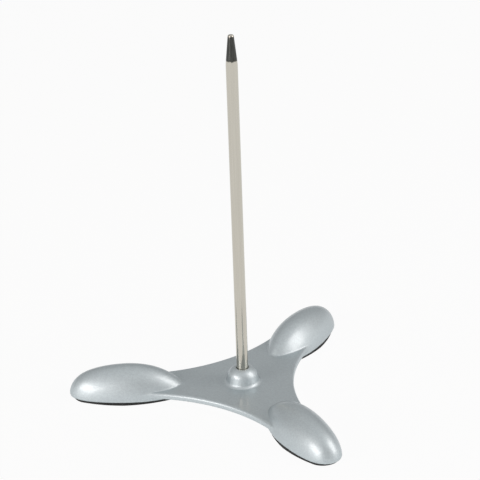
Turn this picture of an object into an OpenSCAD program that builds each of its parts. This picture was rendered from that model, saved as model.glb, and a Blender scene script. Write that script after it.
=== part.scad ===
// Bill spike: a blunt steel spike screwed into a three-footed die-cast base.
// Millimetres, +Z up. The origin is on the spike's axis, on the table.
// One foot points along -X, and the other two stand at 120 degrees to it.

/* [Overall] */
// Height from the table to the blunt end of the spike
overall_h = 151.5; // [120:0.5:200]
// Distance from the spike's axis to the outer tip of a foot
foot_reach = 69.4; // [62:0.2:85]

/* [Plate] */
// Thickness of the plate that joins the feet
plate_t = 2.3; // [1.6:0.1:2.6]
// Clear height between the table and the plate
plate_lift = 2.6; // [2:0.1:3]
// Distance from the spike's axis to the middle of each concave edge
waist_r = 20.2; // [16:0.1:23]
// Width of the plate's arm at the middle of a foot
arm_w = 17.2; // [13:0.1:17.5]
// Rounding of the plate's upper edges
plate_edge_r = 0.9; // [0.4:0.1:1.4]

/* [Feet] */
// Length of a foot along its arm
foot_l = 47; // [40:0.2:50]
// Width of a foot across its arm
foot_w = 19.2; // [18:0.2:23]
// Radius of a foot's outer end in plan
foot_end_r = 6.6; // [5:0.1:7.5]
// Radius of a foot's inner end, the tail on the plate, in plan
foot_tail_r = 5; // [4:0.1:7.5]
// Height of the straight skirt under a foot's dome
skirt_h = 2.3; // [0.8:0.1:2.6]
// Wall thickness of the hollow feet
foot_wall = 2.2; // [1.6:0.1:3]

/* [Boss] */
// Diameter of the domed boss at the middle of the plate
boss_d = 13.2; // [12:0.1:15]
// Radius of the arc that rounds the dome
boss_round_r = 5.1; // [4:0.1:5.8]
// Height of that arc's centre over the plate
boss_rise = 1.2; // [0.2:0.1:1.4]
// Radius of the flare between boss and plate
boss_flare_r = 2; // [1.8:0.1:4]
// Thickness of the web between the spike's socket and the screw pocket
web_t = 1.3; // [1:0.1:1.6]

/* [Spike] */
// Diameter of the spike
spike_d = 4.6; // [4:0.1:5.2]
// Length of the cone at its upper end
cone_l = 11.5; // [6:0.5:20]
// Diameter of the blunt end
blunt_d = 2.3; // [1.5:0.1:3]
// Height of the slight dome on the blunt end
blunt_rise = 0.4; // [0.2:0.1:0.7]

/* [Fasteners] */
// Nominal diameter of the screw under the boss
screw_d = 3; // [2.5:0.5:3]
// Length of the screw below its head
screw_l = 8; // [6:0.5:12]
// Diameter of the screw's pan head
head_d = 5.6; // [5:0.1:6]
// Height of the screw's pan head
head_h = 2.1; // [1.8:0.1:2.2]
// Rounding of the pan head's edge
head_round = 0.8; // [0.4:0.1:1.2]
// Width of the slots of the cross recess
recess_w = 0.9; // [0.6:0.1:1.2]
// Length of the slots of the cross recess
recess_l = 3.4; // [2.4:0.1:4]
// Depth of the cross recess
recess_h = 1.1; // [0.6:0.1:1.4]
// Depth of the tapped hole past the screw's tip
tap_run_out = 1.5; // [0.5:0.5:3]
// Outer diameter of the spring lock washer
washer_d = 6.2; // [5.6:0.1:6.4]
// Thickness of the spring lock washer
washer_t = 0.8; // [0.6:0.1:0.9]
// Width of the split in the lock washer
split_w = 0.4; // [0.2:0.1:0.8]
// Slant of the split, in degrees
split_tilt = 20; // [0:5:30]

/* [Soles] */
// Thickness of a rubber sole
sole_t = 1.1; // [0.6:0.1:1.3]
// Thickness of the adhesive film on a sole
film_t = 0.15; // [0.1:0.05:0.25]
// How far a sole stays inside the rim of its foot
sole_inset = 0.2; // [0.1:0.1:1]
// How much further a sole ends short of its foot's two tips
sole_setback = 1.6; // [0.4:0.2:3]

/* [Fits] */
// Radial gap between the spike and its socket
socket_gap = 0.15; // [0.1:0.05:0.25]
// Radial gap between the screw and the web's hole
web_gap = 0.2; // [0.15:0.05:0.3]
// Radial gap between the screw's thread and the tapped hole
thread_gap = 0.02; // [0.01:0.01:0.04]
// Radial gap between the washer or head and the pocket
pocket_gap = 0.5; // [0.3:0.1:0.7]

/* [Hidden] */
$fn = 96;

// Directions of the three arms
left_a = 180;
front_a = 300;
rear_a = 60;
arm_angles = [left_a, front_a, rear_a];

// Levels above the table
rim_z = sole_t + film_t;
dome_z = rim_z + skirt_h;
plate_z = plate_lift;
plate_top = plate_lift + plate_t;

// How far arcs that run into each other cross, instead of only touching
lap = 0.02;

// Foot outline: an outer end arc, a tail arc and two side arcs of large radius. The side arcs touch
// circles that are smaller than the end arcs by lap
foot_mid = foot_reach - foot_l / 2;
end_x = foot_l / 2 - foot_end_r;
tail_x = foot_l / 2 - foot_tail_r;
end_touch_r = foot_end_r - lap;
tail_touch_r = foot_tail_r - lap;
end_full = foot_w / 2 - end_touch_r;
tail_full = foot_w / 2 - tail_touch_r;

// The side arcs' centres lie side_x out from the foot's middle: this root also holds for equal ends
side_b = tail_full * end_x + end_full * tail_x;
side_c = tail_full * end_x * end_x - end_full * tail_x * tail_x
    + tail_full * end_full * (tail_full - end_full);
side_x = side_c / (side_b + sqrt(side_b * side_b - (tail_full - end_full) * side_c));
side_off = (pow(end_x - side_x, 2) / end_full - end_full) / 2;
side_r = foot_w / 2 + side_off;
end_join = side_x + (end_x - side_x) * side_r / (side_r - end_touch_r);
tail_join = (tail_x + side_x) * side_r / (side_r - tail_touch_r) - side_x;

// Concave edges: each arc runs through the waist and the sides of two arms at the feet's middles
arm_step = 60;
arm_side = [foot_mid, arm_w / 2];
arm_lead = arm_side * [cos(arm_step), sin(arm_step)] - waist_r;
edge_arc_off = (arm_side * arm_side - waist_r * waist_r) / (2 * arm_lead);
edge_arc_r = edge_arc_off - waist_r;

// Boss: the dome's arc has its centre off the axis, and the flare's arc runs from it to the plate
boss_x = boss_d / 2 - boss_round_r;
boss_z = plate_top - lap;
flare_reach = boss_round_r + boss_flare_r - lap;
flare_x = boss_x + sqrt(pow(flare_reach, 2) - pow(boss_flare_r - boss_rise, 2));

// Socket, web and screw pocket, stacked up from the underside of the plate
pocket_r = max(washer_d, head_d) / 2 + pocket_gap;
web_z = plate_z + head_h + washer_t;
seat_z = web_z + web_t;
socket_r = spike_d / 2 + socket_gap;
under_head_z = web_z - washer_t;
head_z = under_head_z - head_h;
tap_top_z = under_head_z + screw_l + tap_run_out;
cone_z = overall_h - blunt_rise - cone_l;
blunt_z = overall_h - blunt_rise;
blunt_r = (pow(blunt_d / 2, 2) + pow(blunt_rise, 2)) / (2 * blunt_rise);

// Overlap of cutting shapes past the faces that they cut
cut = 1;

// Plan of a foot with its middle on the origin and its tail towards -X, drawn in from its rim by inset
module foot_plan(inset = 0) {
    translate([end_x, 0]) circle(foot_end_r - inset);
    translate([-tail_x, 0]) circle(foot_tail_r - inset);
    intersection() {
        translate([side_x, side_off]) circle(side_r - inset);
        translate([side_x, -side_off]) circle(side_r - inset);
        translate([-tail_join, -foot_w / 2]) square([tail_join + end_join, foot_w]);
    }
}

// Solid of a foot: half a turn of the plan about its long axis, over a straight skirt
module foot_body(inset, skirt) {
    translate([foot_mid, 0, dome_z])
        rotate([0, 90, 0])
            rotate([0, 0, 90])
                rotate_extrude(angle = 180)
                    intersection() {
                        rotate(90) foot_plan(inset);
                        translate([0, -foot_l]) square(2 * foot_l);
                    }
    translate([foot_mid, 0, dome_z - skirt])
        linear_extrude(skirt) foot_plan(inset);
}

// Ring that cuts one concave edge of the plate and rounds its upper corner
module edge_cutter() {
    rotate_extrude() {
        translate([0, plate_z - cut]) square([edge_arc_r, plate_t + 2 * cut]);
        translate([edge_arc_r, plate_top - plate_edge_r + lap])
            difference() {
                square([plate_edge_r, plate_edge_r + cut]);
                translate([plate_edge_r, 0]) circle(plate_edge_r);
            }
    }
}

// Flat plate with three concave edges; its arms end inside the feet
module plate() {
    difference() {
        translate([0, 0, plate_z]) cylinder(r = foot_mid, h = plate_t);
        for (a = arm_angles)
            rotate(a + arm_step) translate([edge_arc_off, 0]) edge_cutter();
    }
}

// Domed boss with a flared root
module boss() {
    translate([0, 0, boss_z])
        rotate_extrude() {
            intersection() {
                translate([boss_x, boss_rise]) circle(boss_round_r);
                square(2 * boss_d);
            }
            square([boss_x, boss_rise + boss_round_r]);
            difference() {
                polygon([
                    [0, 0], [flare_x, 0], [flare_x, boss_flare_r], [boss_x, boss_rise], [0, boss_rise]
                ]);
                translate([flare_x, boss_flare_r]) circle(boss_flare_r);
            }
        }
}

// Room inside a hollow foot, open at the rim
module foot_hollow() {
    foot_body(foot_wall, skirt_h + cut);
}

// Die-cast base: plate, boss and three hollow feet in one piece
module base_casting() {
    color("silver") {
        difference() {
            union() {
                plate();
                boss();
            }
            for (a = arm_angles) rotate(a) foot_hollow();
            translate([0, 0, seat_z]) cylinder(r = socket_r, h = boss_d + boss_rise);
            translate([0, 0, web_z - cut]) cylinder(r = screw_d / 2 + web_gap, h = web_t + 2 * cut);
            translate([0, 0, plate_z - cut]) cylinder(r = pocket_r, h = web_z - plate_z + cut);
        }
        for (a = arm_angles)
            rotate(a)
                difference() {
                    foot_body(0, skirt_h);
                    foot_hollow();
                }
    }
}

// Round spike with a coned, blunt upper end and a tapped lower end
module spike() {
    color("lightgray")
        difference() {
            union() {
                translate([0, 0, seat_z]) cylinder(d = spike_d, h = cone_z - seat_z);
                translate([0, 0, cone_z]) cylinder(d1 = spike_d, d2 = blunt_d, h = cone_l);
                intersection() {
                    translate([0, 0, overall_h - blunt_r]) sphere(blunt_r);
                    translate([0, 0, blunt_z]) cylinder(d = blunt_d, h = blunt_rise + cut);
                }
            }
            translate([0, 0, seat_z - cut])
                cylinder(r = screw_d / 2 + thread_gap, h = tap_top_z - seat_z + cut);
        }
}

// Pan-head screw driven up through the web into the spike
module spike_screw() {
    color("gainsboro")
        difference() {
            union() {
                translate([0, 0, under_head_z]) cylinder(d = screw_d, h = screw_l);
                translate([0, 0, head_z])
                    rotate_extrude() {
                        square([head_d / 2 - head_round, head_h]);
                        translate([0, head_round]) square([head_d / 2, head_h - head_round]);
                        translate([head_d / 2 - head_round, head_round]) circle(head_round);
                    }
            }
            for (a = [0, 90])
                rotate(a)
                    translate([-recess_l / 2, -recess_w / 2, head_z - cut])
                        cube([recess_l, recess_w, recess_h + cut]);
        }
}

// Spring lock washer, pressed flat, with its slanting split
module lock_washer() {
    color("darkgray")
        translate([0, 0, under_head_z])
            difference() {
                cylinder(d = washer_d, h = washer_t);
                translate([0, 0, -cut]) cylinder(r = screw_d / 2 + web_gap, h = washer_t + 2 * cut);
                translate([0, 0, washer_t / 2])
                    rotate([split_tilt, 0, 0])
                        translate([0, -split_w / 2, -washer_d / 2]) cube([washer_d, split_w, washer_d]);
            }
}

// Plan of a sole and its film: what two copies of the foot's plan share, one moved out and one in
module sole_plan() {
    intersection() {
        translate([sole_setback, 0]) foot_plan(sole_inset);
        translate([-sole_setback, 0]) foot_plan(sole_inset);
    }
}

// Rubber sole under the foot at the given angle
module rubber_sole(a) {
    color("black")
        rotate(a) translate([foot_mid, 0, 0]) linear_extrude(sole_t) sole_plan();
}

// Adhesive film between a sole and the rim of its foot
module sole_film(a) {
    color("dimgray")
        rotate(a) translate([foot_mid, 0, sole_t]) linear_extrude(film_t) sole_plan();
}

base_casting();
spike();
spike_screw();
lock_washer();
rubber_sole(left_a);  // rubber_sole_left
rubber_sole(front_a);  // rubber_sole_front
rubber_sole(rear_a);  // rubber_sole_rear
sole_film(left_a);  // sole_film_left
sole_film(front_a);  // sole_film_front
sole_film(rear_a);  // sole_film_rear
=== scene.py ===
"""Looks of the bill spike: a lacquered three-footed casting, a plated spike and rubber soles.

Sizes are in millimetres, and the finished meshes are in metres. Most sizes repeat the solids' own,
but the feet and the boss have smoother outlines than the solids' arcs.
"""
import math

import bmesh
import bpy
import numpy as np
from mathutils import Matrix, Quaternion, Vector


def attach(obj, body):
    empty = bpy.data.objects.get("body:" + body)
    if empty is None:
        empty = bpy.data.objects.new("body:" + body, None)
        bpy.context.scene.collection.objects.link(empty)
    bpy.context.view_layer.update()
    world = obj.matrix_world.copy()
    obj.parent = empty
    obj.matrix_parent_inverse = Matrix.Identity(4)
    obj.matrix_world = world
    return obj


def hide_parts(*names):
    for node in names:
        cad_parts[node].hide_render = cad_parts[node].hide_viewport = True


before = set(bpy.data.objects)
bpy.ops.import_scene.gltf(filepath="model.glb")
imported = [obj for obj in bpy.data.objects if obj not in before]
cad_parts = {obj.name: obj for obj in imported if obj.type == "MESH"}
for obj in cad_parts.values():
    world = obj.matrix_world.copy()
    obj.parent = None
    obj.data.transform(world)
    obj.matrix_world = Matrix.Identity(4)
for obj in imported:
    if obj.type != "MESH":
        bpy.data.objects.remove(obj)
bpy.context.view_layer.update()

MM = 0.001

# Base: plate, feet and boss
FOOT_REACH = 69.4
FOOT_L = 47.3
FOOT_W = 19.07
FOOT_WALL = 2.2
RIM_Z = 1.25
FOOT_TOP = 13.15
EQUATOR_Z = 0.45
PLATE_Z = 2.6
PLATE_T = 2.3
PLATE_EDGE_R = 0.9
WAIST_R = 20.2
ARM_W = 17.2
BOSS_R = 6.15
BOSS_ROUND_R = 4.05
BOSS_RISE = 2.35
BOSS_FLARE_R = 1.2
BOSS_LEAN = math.radians(14)
SOCKET_R = 2.45
SEAT_Z = 6.8
WEB_R = 1.7
WEB_Z = 5.5
POCKET_R = 3.6

# A foot's outline as an egg: how much fuller than an ellipse it is at both ends,
# and how far its width leans towards the outer end
EGG_FULL = 0.03
EGG_LEAN = 0.213

# How far a foot's ends draw in towards the rim, and the height where that starts
TIP_DRAW = 0.15
TIP_DRAW_Z = 2.8

# Rounding that the lacquer and the casting leave on edges and in corners
RIM_ROUND = 0.3
UNDER_ROUND = 0.35
HOLE_ROUND = 0.2
CORNER_TOP = 0.35
CORNER_SIDE = 0.25

# Grid that the base's skin is drawn on: its reach in X and Y, its steps, and how far it goes past the
# skin's top and bottom. The steps are finer near the middle, within SKIN_FINE_HALF
SKIN_X = (-70.2, 39.0)
SKIN_Y = (-62.2, 62.2)
SKIN_STEP = 0.54
SKIN_FINE_HALF = 9.72
SKIN_FINE_STEP = 0.27
SKIN_Z_STEP = 0.33
SKIN_BELOW = 0.45
SKIN_ABOVE = 0.5

# Spike
SPIKE_R = 2.3
SPIKE_TOP = 151.5
CONE_L = 11.5
BLUNT_R = 1.15
BLUNT_RISE = 0.4
TAP_R = 1.52
TAP_TOP = 14.2

# Eased edges of the spike, and a ring that holds the shading near an edge
SPIKE_EASE = 0.25
BLUNT_EASE = 0.12
EDGE_HOLD = 1.0

# Dark reflection painted onto the cone: how far up the cone it starts, how far it stays below the blunt end,
# how far its border wanders and half the width over which it fades
DARK_START = 2.2
DARK_STOP = 0.65
DARK_WANDER = 1.2
DARK_FADE = 0.2

# Turning: steps round the axis, rings on the cone and on its end, and a radius to draw the outline from
TURN_SEGMENTS = 128
CONE_RINGS = 8
BLUNT_RINGS = 7
PITCH_R = 1.0

# Studio: half the floor's length, its share of plain white and the surround's strengths. The surround
# is white at the horizon, and it changes to the wall and the ceiling over spans of upward slope
FLOOR_HALF = 3000
FLOOR_WHITE = 0.95
FILL = 0.1
WALL = 0.49
WALL_SPAN = (0.02, 0.14)
CEILING = 0.76
CEILING_SPAN = (0.6, 0.9)
SOFT_BOXES = [
    # name, azimuth, elevation and slant in degrees, then distance, width and height in metres, and watts
    ("soft_box_left", -139, 21.5, -20, 1.0, 0.75, 0.42, 4.45),
    ("soft_box_right", -9, 34, -10, 1.0, 0.5, 0.95, 4.7),
]
SOFT_BOX_TINT = "fff7f4"

# Camera: lens, sensor, distance and target in millimetres, and angles in degrees
CAMERA_LENS = 177.1
CAMERA_SENSOR = 36
CAMERA_LIFT = 25.1
CAMERA_ROLL = -2.01
CAMERA_TURN = 1.35
CAMERA_DISTANCE = 915
CAMERA_TARGET = (0.8, 0, 66.87)

# Derived sizes of the base
FOOT_MID = FOOT_REACH - FOOT_L / 2
PLATE_TOP = PLATE_Z + PLATE_T
ARM_STEP = math.radians(60)
EDGE_DIR = (math.cos(ARM_STEP), math.sin(ARM_STEP))
ARM_LEAD = FOOT_MID * EDGE_DIR[0] + ARM_W / 2 * EDGE_DIR[1] - WAIST_R
EDGE_OFF = (FOOT_MID**2 + (ARM_W / 2) ** 2 - WAIST_R**2) / (2 * ARM_LEAD)
EDGE_R = EDGE_OFF - WAIST_R
CONE_Z = SPIKE_TOP - BLUNT_RISE - CONE_L


# Distances, in millimetres and below zero inside the metal

def round_union(a, b, r):
    """Union of two shapes with a fillet of radius r in the corner between them."""
    return np.maximum(r, np.minimum(a, b)) - np.hypot(np.maximum(r - a, 0), np.maximum(r - b, 0))


def round_overlap(a, b, r):
    """What two shapes share, with the edge between them rounded to radius r."""
    return np.minimum(-r, np.maximum(a, b)) + np.hypot(np.maximum(r + a, 0), np.maximum(r + b, 0))


def egg(along, across, inset):
    """Outline of a foot: an ellipse that is fuller at its outer end and slim at its tail."""
    part = along / (FOOT_L / 2)
    end = np.clip(part, -1, 1)
    half = FOOT_W / 2 * (1 + EGG_FULL * end**2 + EGG_LEAN * end**3)
    near = np.hypot(part, across / half)
    steep = np.hypot(part / (FOOT_L / 2), across / half**2)
    return near * (near - 1) / steep + inset


def foot(x, y, z, inset, floor_z, edge_r):
    """Half-egg foot: the outline turned about its long axis and drawn up to its full height."""
    lift = np.maximum(z - EQUATOR_Z, 0) * FOOT_W / 2 / (FOOT_TOP - EQUATOR_Z)
    draw = TIP_DRAW * (np.maximum(TIP_DRAW_Z - z, 0) / (TIP_DRAW_Z - RIM_Z)) ** 2
    along = (x - FOOT_MID) * (1 + draw / (FOOT_L / 2))
    return round_overlap(egg(along, np.hypot(y, lift), inset), floor_z - z, edge_r)


def plate(x, y, z):
    """Plate with concave edges, rounded more above than below; it ends inside the feet."""
    edge = EDGE_R - np.hypot(x - EDGE_OFF * EDGE_DIR[0], np.abs(y) - EDGE_OFF * EDGE_DIR[1])
    plan = np.maximum(edge, x - FOOT_MID)
    upper = round_overlap(plan, z - PLATE_TOP, PLATE_EDGE_R)
    return round_overlap(upper, PLATE_Z - z, UNDER_ROUND)


def boss(r, z):
    """Bell-shaped boss: a rounded top over a side that leans out towards the plate."""
    out, up = np.maximum(r - BOSS_R + BOSS_ROUND_R, 0), z - PLATE_TOP - BOSS_RISE
    side = out * math.cos(BOSS_LEAN) + up * math.sin(BOSS_LEAN)
    on_top = up * math.cos(BOSS_LEAN) > out * math.sin(BOSS_LEAN)
    bell = np.where(on_top, np.hypot(out, up), side) - BOSS_ROUND_R
    return np.maximum(bell, PLATE_TOP - PLATE_EDGE_R - z)


def casting(p):
    """The whole base: three arms folded into one, the boss and the holes down its middle."""
    r = np.hypot(p[0], p[1])
    turn = np.arctan2(p[1], p[0])
    turn = (turn % (2 * ARM_STEP)) - ARM_STEP
    x, y, z = r * np.cos(turn), r * np.sin(turn), p[2]
    rise = np.clip((z - PLATE_Z) / PLATE_T, 0, 1)
    corner = CORNER_SIDE + (CORNER_TOP - CORNER_SIDE) * rise * rise * (3 - 2 * rise)
    metal = round_union(plate(x, y, z), foot(x, y, z, 0, RIM_Z, RIM_ROUND), corner)
    metal = round_union(metal, boss(r, z), BOSS_FLARE_R)
    hollow = foot(x, y, z, FOOT_WALL, RIM_Z - FOOT_WALL, 0)
    metal = round_overlap(metal, -hollow, HOLE_ROUND)
    socket = np.maximum(r - SOCKET_R, SEAT_Z - z)
    pocket = np.maximum(r - POCKET_R, z - WEB_Z)
    hole = np.minimum(np.minimum(socket, pocket), r - WEB_R)
    return round_overlap(metal, -hole, HOLE_ROUND)


def grid_line(low, high, step, fine_half, fine_step):
    """Grid levels from low to high, closer together within fine_half of the middle."""
    fine = np.arange(-fine_half, fine_half + fine_step / 2, fine_step)
    below = np.arange(-fine_half - step, low - step, -step)[::-1]
    above = np.arange(fine_half + step, high + step, step)
    return np.concatenate([below, fine, above])


def level_surface(shape, lines):
    """Quads of the surface where shape is zero: one point for each grid cell that it crosses."""
    grids = np.meshgrid(*lines, indexing="ij")
    value = shape([g.ravel() for g in grids]).reshape(grids[0].shape)
    inside = value < 0
    cells = tuple(n - 1 for n in value.shape)
    count = np.zeros(cells, np.int8)
    for corner in np.ndindex(2, 2, 2):
        count += inside[tuple(slice(c, c + n) for c, n in zip(corner, cells))]
    crossed = np.argwhere((count > 0) & (count < 8))
    number = np.full(cells, -1, np.int64)
    number[tuple(crossed.T)] = np.arange(len(crossed))
    total = np.zeros((len(crossed), 3))
    hits = np.zeros(len(crossed))
    quads = []
    for axis in range(3):
        b, c = (axis + 1) % 3, (axis + 2) % 3
        for db, dc in np.ndindex(2, 2):
            low = crossed.copy()
            low[:, b] += db
            low[:, c] += dc
            high = low.copy()
            high[:, axis] += 1
            f0, f1 = value[tuple(low.T)], value[tuple(high.T)]
            cut = (f0 < 0) != (f1 < 0)
            share = np.where(cut, f0 / np.where(cut, f0 - f1, 1), 0)
            p0 = np.stack([lines[k][low[:, k]] for k in range(3)], 1)
            p1 = np.stack([lines[k][high[:, k]] for k in range(3)], 1)
            total += np.where(cut[:, None], p0 + share[:, None] * (p1 - p0), 0)
            hits += cut
        lower = [slice(None)] * 3
        upper = [slice(None)] * 3
        lower[axis], upper[axis] = slice(0, -1), slice(1, None)
        edge = np.argwhere(inside[tuple(lower)] != inside[tuple(upper)])
        leaves = inside[tuple(edge.T)]
        ring = []
        for db, dc in ((1, 1), (0, 1), (0, 0), (1, 0)):
            cell = edge.copy()
            cell[:, b] -= db
            cell[:, c] -= dc
            ring.append(number[tuple(cell.T)])
        ring = np.stack(ring, 1)
        ring[~leaves] = ring[~leaves][:, ::-1]
        quads.append(ring)
    return total / hits[:, None], np.concatenate(quads)


def settle(shape, points, rounds=5, reach=0.3, probe=0.01, least=0.05):
    """Moves the points onto the surface along the shape's slope, which counts as least where it is flat."""
    for _ in range(rounds):
        slope = np.stack([
            shape((points + probe * axis).T) - shape((points - probe * axis).T) for axis in np.eye(3)
        ], 1) / (2 * probe)
        step = shape(points.T) / np.maximum((slope**2).sum(1), least)
        points = points - np.clip(step[:, None] * slope, -reach, reach)
    return points


def mesh_piece(name, points, faces):
    """A mesh object at the origin, from points in millimetres."""
    mesh = bpy.data.meshes.new(name)
    mesh.from_pydata((np.asarray(points) * MM).tolist(), [], np.asarray(faces).tolist())
    mesh.validate()
    mesh.shade_smooth()
    piece = bpy.data.objects.new(name, mesh)
    bpy.context.scene.collection.objects.link(piece)
    return piece


# Nodes and colours

def linear(code):
    """Linear RGBA of an sRGB hex colour."""
    parts = [int(code[i:i + 2], 16) / 255 for i in (0, 2, 4)]
    return [c / 12.92 if c <= 0.04045 else ((c + 0.055) / 1.055) ** 2.4 for c in parts] + [1.0]


def add(tree, kind, sockets=None, **settings):
    """Adds a node: settings go on the node, and each socket gets a value or another node's output."""
    node = tree.nodes.new(kind)
    for key, value in settings.items():
        setattr(node, key, value)
    for key, value in (sockets or {}).items():
        if isinstance(value, bpy.types.NodeSocket):
            tree.links.new(value, node.inputs[key])
        else:
            node.inputs[key].default_value = value
    return node


def material(name):
    """An empty node material with its output."""
    mat = bpy.data.materials.new(name)
    mat.use_nodes = True
    mat.node_tree.nodes.clear()
    return mat, mat.node_tree, add(mat.node_tree, "ShaderNodeOutputMaterial")


def per_mm(size):
    """Texture scale that gives one feature for each size millimetres of Object coordinates."""
    return 1 / (size * MM)


def metallic_lacquer():
    """Silver stoving lacquer, sprayed over a zinc casting: aluminium flake in a satin film.

    The eye gets a soft metal sheen with a faint sparkle and a little orange peel.
    """
    mat, tree, out = material("silver_stoving_lacquer")
    place = add(tree, "ShaderNodeTexCoord").outputs["Object"]
    # Real flake is near 0.03 mm: drawn at 0.4 mm, because it wouldn't show otherwise
    flake = add(tree, "ShaderNodeTexVoronoi", {"Vector": place, "Scale": per_mm(0.4)})
    cloud = add(tree, "ShaderNodeTexNoise", {"Vector": place, "Scale": per_mm(9), "Detail": 3.0})
    peel = add(tree, "ShaderNodeTexNoise", {"Vector": place, "Scale": per_mm(1.6), "Detail": 1.0})
    spark = add(tree, "ShaderNodeSeparateColor", {"Color": flake.outputs["Color"]})
    tone = add(tree, "ShaderNodeMix", {
        "Factor": spark.outputs["Red"],
        "A": linear("c1cace"),
        "B": linear("cbd5d8"),
    }, data_type="RGBA")
    rough = add(tree, "ShaderNodeMapRange", {
        "Value": cloud.outputs["Fac"], "From Min": 0.3, "From Max": 0.7, "To Min": 0.475, "To Max": 0.525,
    })
    bump = add(tree, "ShaderNodeBump", {
        "Height": peel.outputs["Fac"], "Strength": 0.12, "Distance": 0.04 * MM,
    })
    shader = add(tree, "ShaderNodeBsdfPrincipled", {
        "Base Color": tone.outputs["Result"],
        "Metallic": 0.8,
        "Roughness": rough.outputs["Result"],
        "Specular Tint": linear("b0b6b9"),
        "Coat Weight": 0.6,
        "Coat Roughness": 0.12,
        "Coat IOR": 1.5,
        "Normal": bump.outputs["Normal"],
    })
    tree.links.new(shader.outputs["BSDF"], out.inputs["Surface"])
    return mat


def plated_spike():
    """Bright nickel plate on drawn steel wire, with a dark reflection painted onto the cone.

    The eye gets a warm mirror with faint lines along the shaft,
    and a grey, streaked cone whose dark tone is a painted reflection.
    """
    mat, tree, out = material("bright_nickel_plate_painted_reflection_cone")
    place = add(tree, "ShaderNodeTexCoord").outputs["Object"]
    # Drawing lines of about 0.25 mm that run 30 mm along the wire
    wire = add(tree, "ShaderNodeMapping", {
        "Vector": place, "Scale": (per_mm(0.25), per_mm(0.25), per_mm(30)),
    })
    lines = add(tree, "ShaderNodeTexNoise", {"Vector": wire.outputs["Vector"], "Scale": 1.0, "Detail": 2.0})
    # Streaks of about 0.5 mm that run 6 mm up the cone, in the painted dark reflection and along its lower
    # border
    streak_space = add(tree, "ShaderNodeMapping", {
        "Vector": place, "Scale": (per_mm(0.5), per_mm(0.5), per_mm(6)),
    })
    cone_streaks = add(tree, "ShaderNodeTexNoise", {"Vector": streak_space.outputs["Vector"], "Scale": 1.0, "Detail": 3.0})
    height = add(tree, "ShaderNodeSeparateXYZ", {"Vector": place})
    wander = add(tree, "ShaderNodeMath", {
        0: cone_streaks.outputs["Fac"], 1: DARK_WANDER * MM, 2: height.outputs["Z"],
    }, operation="MULTIPLY_ADD")
    cone = add(tree, "ShaderNodeMapRange", {
        "Value": wander.outputs["Value"],
        "From Min": (CONE_Z + DARK_START - DARK_FADE) * MM,
        "From Max": (CONE_Z + DARK_START + DARK_FADE) * MM,
    })
    end = add(tree, "ShaderNodeMapRange", {
        "Value": height.outputs["Z"],
        "From Min": (SPIKE_TOP - DARK_STOP - DARK_FADE) * MM,
        "From Max": (SPIKE_TOP - DARK_STOP + DARK_FADE) * MM,
    })
    # Share of the dark reflection painted onto the cone, between its lower border and the blunt end
    dark = add(tree, "ShaderNodeMath", {
        0: cone.outputs["Result"], 1: end.outputs["Result"],
    }, operation="SUBTRACT", use_clamp=True)
    plate_tone = add(tree, "ShaderNodeMix", {
        "Factor": lines.outputs["Fac"], "A": linear("bab6ac"), "B": linear("cecabf"),
    }, data_type="RGBA")
    # Streaked dark grey of the reflection painted onto the cone
    painted_reflection_tone = add(tree, "ShaderNodeMix", {
        "Factor": cone_streaks.outputs["Fac"], "A": linear("232423"), "B": linear("5e5f5b"),
    }, data_type="RGBA")
    tone = add(tree, "ShaderNodeMix", {
        "Factor": dark.outputs["Value"], "A": plate_tone.outputs["Result"], "B": painted_reflection_tone.outputs["Result"],
    }, data_type="RGBA")
    rough = add(tree, "ShaderNodeMapRange", {"Value": dark.outputs["Value"], "To Min": 0.13, "To Max": 0.34})
    bump = add(tree, "ShaderNodeBump", {
        "Height": lines.outputs["Fac"], "Strength": 0.08, "Distance": 0.02 * MM,
    })
    shader = add(tree, "ShaderNodeBsdfPrincipled", {
        "Base Color": tone.outputs["Result"],
        "Metallic": 1.0,
        "Roughness": rough.outputs["Result"],
        "Normal": bump.outputs["Normal"],
    })
    tree.links.new(shader.outputs["BSDF"], out.inputs["Surface"])
    return mat


def sole_rubber():
    """Black rubber sheet, pressed and die-cut: matt, with a fine cloth-like press grain."""
    mat, tree, out = material("black_rubber_sheet")
    place = add(tree, "ShaderNodeTexCoord").outputs["Object"]
    grain = add(tree, "ShaderNodeTexVoronoi", {"Vector": place, "Scale": per_mm(0.5)})
    dust = add(tree, "ShaderNodeTexNoise", {"Vector": place, "Scale": per_mm(6), "Detail": 4.0})
    tone = add(tree, "ShaderNodeMix", {
        "Factor": dust.outputs["Fac"], "A": linear("111212"), "B": linear("222323"),
    }, data_type="RGBA")
    rough = add(tree, "ShaderNodeMapRange", {"Value": dust.outputs["Fac"], "To Min": 0.68, "To Max": 0.86})
    bump = add(tree, "ShaderNodeBump", {
        "Height": grain.outputs["Distance"], "Strength": 0.3, "Distance": 0.05 * MM,
    })
    shader = add(tree, "ShaderNodeBsdfPrincipled", {
        "Base Color": tone.outputs["Result"],
        "Roughness": rough.outputs["Result"],
        "IOR": 1.52,
        "Normal": bump.outputs["Normal"],
    })
    tree.links.new(shader.outputs["BSDF"], out.inputs["Surface"])
    return mat


def seam_shade_film():
    """Double-sided acrylic adhesive, dark as painted shade under the rim: a smooth, slightly glossy cut
    edge.
    """
    mat, tree, out = material("adhesive_film_painted_shade")
    place = add(tree, "ShaderNodeTexCoord").outputs["Object"]
    smear = add(tree, "ShaderNodeTexNoise", {"Vector": place, "Scale": per_mm(3), "Detail": 2.0})
    # Dark tones of the film: painted shade in the seam between the foot's rim and the rubber sole
    tone = add(tree, "ShaderNodeMix", {
        "Factor": smear.outputs["Fac"], "A": linear("1c1c1d"), "B": linear("303132"),
    }, data_type="RGBA")
    rough = add(tree, "ShaderNodeMapRange", {"Value": smear.outputs["Fac"], "To Min": 0.35, "To Max": 0.55})
    shader = add(tree, "ShaderNodeBsdfPrincipled", {
        "Base Color": tone.outputs["Result"], "Roughness": rough.outputs["Result"], "IOR": 1.47,
    })
    tree.links.new(shader.outputs["BSDF"], out.inputs["Surface"])
    return mat


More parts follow.
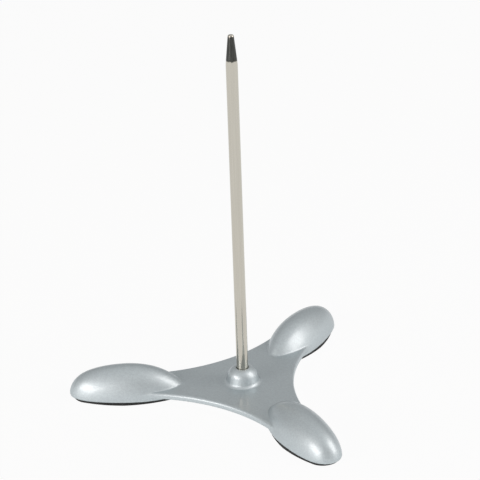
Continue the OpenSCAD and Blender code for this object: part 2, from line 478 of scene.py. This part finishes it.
def zinc_steel():
    """Bright zinc plate on pressed steel: bluish grey with a crystalline mottle."""
    mat, tree, out = material("bright_zinc_plate")
    place = add(tree, "ShaderNodeTexCoord").outputs["Object"]
    crystal = add(tree, "ShaderNodeTexVoronoi", {"Vector": place, "Scale": per_mm(0.35)})
    stain = add(tree, "ShaderNodeTexNoise", {"Vector": place, "Scale": per_mm(1.5), "Detail": 3.0})
    mottle = add(tree, "ShaderNodeSeparateColor", {"Color": crystal.outputs["Color"]})
    tone = add(tree, "ShaderNodeMix", {
        "Factor": stain.outputs["Fac"], "A": linear("aeb3b8"), "B": linear("cdcfd0"),
    }, data_type="RGBA")
    rough = add(tree, "ShaderNodeMapRange", {"Value": mottle.outputs["Red"], "To Min": 0.24, "To Max": 0.38})
    shader = add(tree, "ShaderNodeBsdfPrincipled", {
        "Base Color": tone.outputs["Result"], "Metallic": 1.0, "Roughness": rough.outputs["Result"],
    })
    tree.links.new(shader.outputs["BSDF"], out.inputs["Surface"])
    return mat


# Base skin: the casting with the fillets and roundings that the finished piece shows

skin_points, skin_quads = level_surface(casting, [
    grid_line(*SKIN_X, SKIN_STEP, SKIN_FINE_HALF, SKIN_FINE_STEP),
    grid_line(*SKIN_Y, SKIN_STEP, SKIN_FINE_HALF, SKIN_FINE_STEP),
    np.arange(RIM_Z - SKIN_BELOW, FOOT_TOP + SKIN_ABOVE, SKIN_Z_STEP),
])
skin_points = settle(casting, skin_points)
base = mesh_piece("base_skin", skin_points, skin_quads)
base.data.materials.append(metallic_lacquer())
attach(base, "root")
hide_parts("base_casting")


# Spike: its outline turned about the axis

def turned_tree(mat):
    """Geometry nodes that turn an outline, drawn in X and Y, about the Z axis."""
    tree = bpy.data.node_groups.new("turned_from_outline", "GeometryNodeTree")
    tree.interface.new_socket("Outline", in_out="INPUT", socket_type="NodeSocketGeometry")
    tree.interface.new_socket("Segments", in_out="INPUT", socket_type="NodeSocketInt")
    tree.interface.new_socket("Pitch radius", in_out="INPUT", socket_type="NodeSocketFloat")
    tree.interface.new_socket("Piece", in_out="OUTPUT", socket_type="NodeSocketGeometry")
    given = add(tree, "NodeGroupInput").outputs
    ring = add(tree, "GeometryNodeCurvePrimitiveCircle", {
        "Resolution": given["Segments"], "Radius": given["Pitch radius"],
    })
    upright = add(tree, "GeometryNodeSetCurveNormal", {"Curve": ring.outputs["Curve"]}, mode="Z_UP")
    swept = add(tree, "GeometryNodeCurveToMesh", {
        "Curve": upright.outputs["Curve"], "Profile Curve": given["Outline"],
    })
    whole = add(tree, "GeometryNodeMergeByDistance", {
        "Geometry": swept.outputs["Mesh"], "Distance": 0.002 * MM,
    })
    smooth = add(tree, "GeometryNodeSetShadeSmooth", {"Geometry": whole.outputs["Geometry"]})
    real = add(tree, "GeometryNodeRealizeInstances", {"Geometry": smooth.outputs["Geometry"]})
    clad = add(tree, "GeometryNodeSetMaterial", {"Geometry": real.outputs["Geometry"], "Material": mat})
    add(tree, "NodeGroupOutput", {"Piece": clad.outputs["Geometry"]})
    return tree


def spike_outline():
    """Radius and height of points up the spike: tapped hole, seat, shaft, cone and blunt end."""
    ball_r = (BLUNT_R**2 + BLUNT_RISE**2) / (2 * BLUNT_RISE)
    slope = (SPIKE_R - BLUNT_R) / CONE_L
    points = [(0, TAP_TOP), (TAP_R, TAP_TOP), (TAP_R, SEAT_Z + SPIKE_EASE), (TAP_R + SPIKE_EASE, SEAT_Z)]
    points += [(SPIKE_R - SPIKE_EASE, SEAT_Z), (SPIKE_R, SEAT_Z + SPIKE_EASE), (SPIKE_R, SEAT_Z + EDGE_HOLD)]
    points += [(SPIKE_R, CONE_Z - SPIKE_EASE), (SPIKE_R - slope * SPIKE_EASE, CONE_Z + SPIKE_EASE)]
    for rise in np.linspace(EDGE_HOLD, CONE_L - BLUNT_EASE, CONE_RINGS):
        points.append((SPIKE_R - slope * rise, CONE_Z + rise))
    reach = math.asin((BLUNT_R - BLUNT_EASE) / ball_r)
    for turn in np.linspace(reach, 0, BLUNT_RINGS):
        points.append((ball_r * math.sin(turn), SPIKE_TOP - ball_r * (1 - math.cos(turn))))
    return points


def turned_piece(name, outline, mat):
    """A finished mesh turned from an outline of radius and height in millimetres."""
    curve = bpy.data.curves.new(name + "_outline", "CURVE")
    curve.dimensions = "3D"
    spline = curve.splines.new("POLY")
    spline.points.add(len(outline) - 1)
    for point, (radius, height) in zip(spline.points, outline):
        point.co = ((radius - PITCH_R) * MM, -height * MM, 0, 1)
    drawn = bpy.data.objects.new(name + "_outline", curve)
    bpy.context.scene.collection.objects.link(drawn)
    turning = drawn.modifiers.new("turning", "NODES")
    turning.node_group = turned_tree(mat)
    sizes = {"Segments": TURN_SEGMENTS, "Pitch radius": PITCH_R * MM}
    for item in turning.node_group.interface.items_tree:
        if item.name in sizes:
            turning[item.identifier] = sizes[item.name]
    graph = bpy.context.evaluated_depsgraph_get()
    mesh = bpy.data.meshes.new_from_object(drawn.evaluated_get(graph), depsgraph=graph)
    bpy.data.objects.remove(drawn)
    mesh.name = name
    shell = bmesh.new()
    shell.from_mesh(mesh)
    bmesh.ops.recalc_face_normals(shell, faces=shell.faces)
    shell.to_mesh(mesh)
    shell.free()
    piece = bpy.data.objects.new(name, mesh)
    bpy.context.scene.collection.objects.link(piece)
    return piece


spike = turned_piece("spike_turned", spike_outline(), plated_spike())
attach(spike, "root")
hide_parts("spike")


# Finishes of the solids that keep their own shape

finishes = {
    "spike_screw": zinc_steel(),
    "rubber_sole": sole_rubber(),
    "sole_film": seam_shade_film(),
}
finishes["lock_washer"] = finishes["spike_screw"]
for name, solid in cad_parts.items():
    for stem, finish in finishes.items():
        if name.startswith(stem):
            solid.data.materials.clear()
            solid.data.materials.append(finish)


# Studio: white floor, pale surround, two soft boxes and the camera

def shown_background(tree):
    """One for the rays that show the background: straight to the camera, by gloss or through glass."""
    path = add(tree, "ShaderNodeLightPath").outputs
    seen = add(tree, "ShaderNodeMath", {
        0: path["Is Camera Ray"], 1: path["Is Glossy Ray"],
    }, operation="MAXIMUM")
    return add(tree, "ShaderNodeMath", {
        0: seen.outputs["Value"], 1: path["Is Transmission Ray"],
    }, operation="MAXIMUM").outputs["Value"]


def studio_floor():
    """Matt white board that shows as a white ground and keeps a light shadow of the object."""
    mat, tree, out = material("matt_white_board")
    place = add(tree, "ShaderNodeTexCoord").outputs["Object"]
    fibre = add(tree, "ShaderNodeTexNoise", {"Vector": place, "Scale": per_mm(40), "Detail": 3.0})
    tone = add(tree, "ShaderNodeMix", {
        "Factor": fibre.outputs["Fac"], "A": linear("eceded"), "B": linear("f4f4f4"),
    }, data_type="RGBA")
    board = add(tree, "ShaderNodeBsdfDiffuse", {"Color": tone.outputs["Result"]})
    white = add(tree, "ShaderNodeEmission", {"Strength": 1.0})
    share = add(tree, "ShaderNodeMath", {0: shown_background(tree), 1: FLOOR_WHITE}, operation="MULTIPLY")
    both = add(tree, "ShaderNodeMixShader", {
        "Fac": share.outputs["Value"], 1: board.outputs["BSDF"], 2: white.outputs["Emission"],
    })
    tree.links.new(both.outputs["Shader"], out.inputs["Surface"])
    return mat


floor = mesh_piece("floor", [
    (-FLOOR_HALF, -FLOOR_HALF, 0), (FLOOR_HALF, -FLOOR_HALF, 0),
    (FLOOR_HALF, FLOOR_HALF, 0), (-FLOOR_HALF, FLOOR_HALF, 0),
], [(0, 1, 2, 3)])
floor.data.materials.append(studio_floor())

world = bpy.data.worlds.new("studio_surround")
bpy.context.scene.world = world
world.use_nodes = True
world.node_tree.nodes.clear()
air = world.node_tree
way = add(air, "ShaderNodeSeparateXYZ", {"Vector": add(air, "ShaderNodeTexCoord").outputs["Generated"]})
wall = add(air, "ShaderNodeMapRange", {
    "Value": way.outputs["Z"], "From Min": WALL_SPAN[0], "From Max": WALL_SPAN[1],
    "To Min": 1.0, "To Max": WALL,
}, interpolation_type="SMOOTHSTEP")
ceiling = add(air, "ShaderNodeMapRange", {
    "Value": way.outputs["Z"], "From Min": CEILING_SPAN[0], "From Max": CEILING_SPAN[1],
    "To Min": wall.outputs["Result"], "To Max": CEILING,
}, interpolation_type="SMOOTHSTEP")
fill = add(air, "ShaderNodeBackground", {"Color": linear("ffffff"), "Strength": FILL})
shown = add(air, "ShaderNodeMath", {
    0: ceiling.outputs["Result"], 1: add(air, "ShaderNodeLightPath").outputs["Is Camera Ray"],
}, operation="MAXIMUM")
backdrop = add(air, "ShaderNodeBackground", {"Color": linear("ffffff"), "Strength": shown.outputs["Value"]})
surround = add(air, "ShaderNodeMixShader", {
    "Fac": shown_background(air), 1: fill.outputs["Background"], 2: backdrop.outputs["Background"],
})
add(air, "ShaderNodeOutputWorld", {"Surface": surround.outputs["Shader"]})

for name, azimuth, elevation, slant, distance, width, height, power in SOFT_BOXES:
    lamp = bpy.data.lights.new(name, "AREA")
    lamp.shape = "RECTANGLE"
    lamp.size, lamp.size_y = width, height
    lamp.energy = power
    lamp.color = linear(SOFT_BOX_TINT)[:3]
    box = bpy.data.objects.new(name, lamp)
    box.visible_camera = False
    bpy.context.scene.collection.objects.link(box)
    turn, lift = math.radians(azimuth), math.radians(elevation)
    aim = Vector((math.cos(turn) * math.cos(lift), math.sin(turn) * math.cos(lift), math.sin(lift)))
    box.location = aim * distance
    level = aim.to_track_quat("Z", "Y")
    box.rotation_euler = (level @ Quaternion((0, 0, 1), math.radians(slant))).to_euler()

# Camera: a long lens, a little above the object and slightly rolled
lens = bpy.data.cameras.new("camera")
lens.sensor_width = CAMERA_SENSOR
lens.lens = CAMERA_LENS
camera = bpy.data.objects.new("camera", lens)
bpy.context.scene.collection.objects.link(camera)
tilt, roll = math.radians(CAMERA_LIFT), math.radians(CAMERA_ROLL)
back = Vector((0, -math.cos(tilt), math.sin(tilt)))
right = Vector((1, 0, 0))
up = back.cross(right)
across = math.cos(roll) * right + math.sin(roll) * up
above = -math.sin(roll) * right + math.cos(roll) * up
eye = (Vector(CAMERA_TARGET) + back * CAMERA_DISTANCE) * MM
pose = Matrix((across, above, back)).transposed().to_4x4()
pose.translation = eye
camera.matrix_world = Matrix.Rotation(math.radians(CAMERA_TURN), 4, "Z") @ pose
bpy.context.scene.camera = camera
bpy.context.scene.view_settings.view_transform = "Standard"
